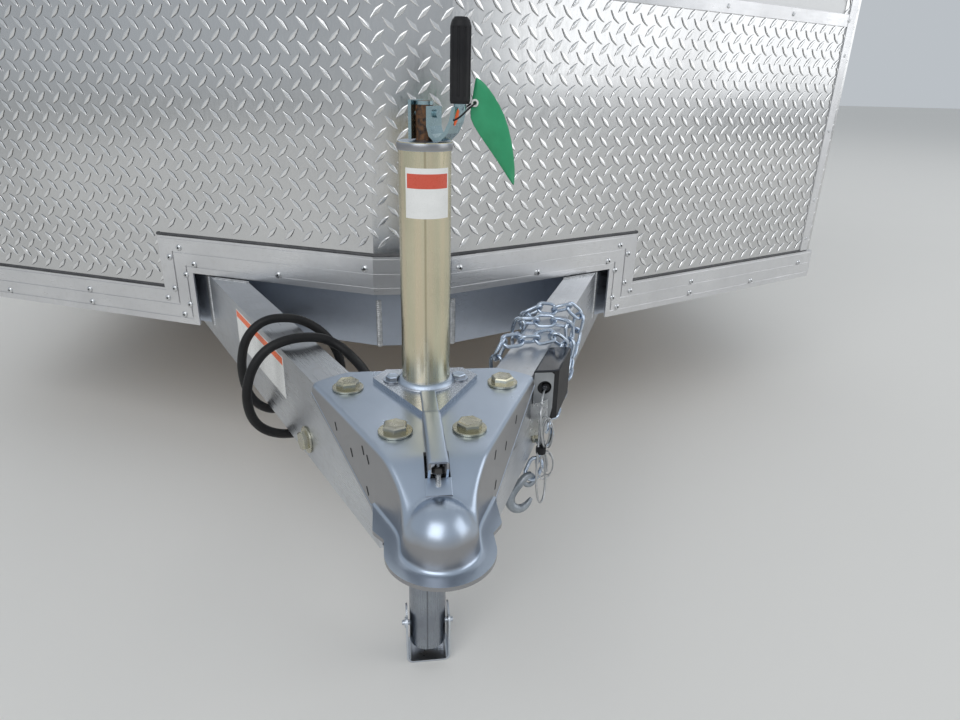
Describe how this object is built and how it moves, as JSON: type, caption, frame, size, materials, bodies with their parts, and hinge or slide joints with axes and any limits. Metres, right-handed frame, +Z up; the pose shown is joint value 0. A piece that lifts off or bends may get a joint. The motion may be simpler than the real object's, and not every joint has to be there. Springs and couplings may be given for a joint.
{
  "type": "enclosed cargo trailer",
  "caption": "Enclosed V-nose cargo trailer with A-frame tongue, ball coupler, jack, tandem wheels, side door and rear ramp door.",
  "frame": {"origin": "middle of the bounding box's bottom face, on the ground", "axes": "+Y to the trailer's rear, -Y towards the coupler, +X to the trailer's left, +Z up"},
  "size_m": [2.598, 5.4304, 2.467],
  "materials": {
    "tyre": "moulded rubber",
    "wheel_alloy": "machined and lacquered",
    "plywood": "bare plywood",
    "skin": "smooth sheet aluminium skin",
    "tread_plate": "bright tread plate",
    "mill_aluminium": "brushed mill finish",
    "axle_steel": "black paint",
    "zinc_steel": "bright zinc plate",
    "jack_steel": "galvanised",
    "black_rubber": "jacketed cable",
    "black_plastic": "moulded plastic",
    "lamp_red": "clear red lens",
    "lamp_amber": "clear amber lens",
    "trim_aluminium": "satin extrusion"
  },
  "bodies": {
    "chassis": {"axle_front": "axle_steel", "axle_rear": "axle_steel", "breakaway_cable": "zinc_steel", "breakaway_switch": "black_plastic", "coupler": "zinc_steel", "coupler_latch": "zinc_steel", "cross_members": "mill_aluminium", "fender_left": "trim_aluminium", "fender_right": "trim_aluminium", "floor": "plywood", "jack_crank": "jack_steel", "jack_grip": "black_plastic", "jack_tube": "jack_steel", "main_rail_left": "mill_aluminium", "main_rail_right": "mill_aluminium", "marker_lamps": "lamp_amber", "nose_guard": "tread_plate", "nose_member": "mill_aluminium", "nose_trim": "trim_aluminium", "nose_wall": "skin", "ramp_hinges": "zinc_steel", "rear_frame": "trim_aluminium", "roof": "skin", "roof_trim": "trim_aluminium", "safety_chain": "zinc_steel", "side_door_frame": "trim_aluminium", "side_door_hinges": "zinc_steel", "side_trim_left": "trim_aluminium", "side_trim_right": "trim_aluminium", "side_wall_left": "skin", "side_wall_right": "skin", "supply_cable": "black_rubber", "supply_plug": "black_plastic", "tail_lamps": "lamp_red", "tongue_beam_left": "mill_aluminium", "tongue_beam_right": "mill_aluminium"},
    "wheel_front_left": {"tyre_front_left": "tyre", "rim_front_left": "wheel_alloy"},
    "wheel_front_right": {"tyre_front_right": "tyre", "rim_front_right": "wheel_alloy"},
    "wheel_rear_left": {"tyre_rear_left": "tyre", "rim_rear_left": "wheel_alloy"},
    "wheel_rear_right": {"tyre_rear_right": "tyre", "rim_rear_right": "wheel_alloy"},
    "side_door": {"side_door": "skin", "side_door_latch": "zinc_steel"},
    "ramp_door": {"ramp_door": "skin", "ramp_latches": "zinc_steel"},
    "jack_leg": {"jack_leg": "jack_steel", "jack_foot": "jack_steel"}
  },
  "joints": [
    {"name": "wheel_front_left_spin", "type": "hinge", "parent": "chassis", "child": "wheel_front_left", "pos_m": [1.19, 0.4628, 0.3445], "axis": [1, 0, 0], "continuous": true},
    {"name": "wheel_front_right_spin", "type": "hinge", "parent": "chassis", "child": "wheel_front_right", "pos_m": [-1.19, 0.4628, 0.3445], "axis": [1, 0, 0], "continuous": true},
    {"name": "wheel_rear_left_spin", "type": "hinge", "parent": "chassis", "child": "wheel_rear_left", "pos_m": [1.19, 1.3268, 0.3445], "axis": [1, 0, 0], "continuous": true},
    {"name": "wheel_rear_right_spin", "type": "hinge", "parent": "chassis", "child": "wheel_rear_right", "pos_m": [-1.19, 1.3268, 0.3445], "axis": [1, 0, 0], "continuous": true},
    {"name": "side_door_hinge", "type": "hinge", "parent": "chassis", "child": "side_door", "pos_m": [-1.0575, -1.3682, 1.371], "axis": [0, 0, 1], "range_deg": [0, 170]},
    {"name": "ramp_door_hinge", "type": "hinge", "parent": "chassis", "child": "ramp_door", "pos_m": [0, 2.6882, 0.436], "axis": [-1, 0, 0], "range_deg": [0, 101.5]},
    {"name": "jack_leg_slide", "type": "slide", "parent": "chassis", "child": "jack_leg", "axis": [0, 0, 1], "range_m": [-0.225, 0.15]}
  ]
}
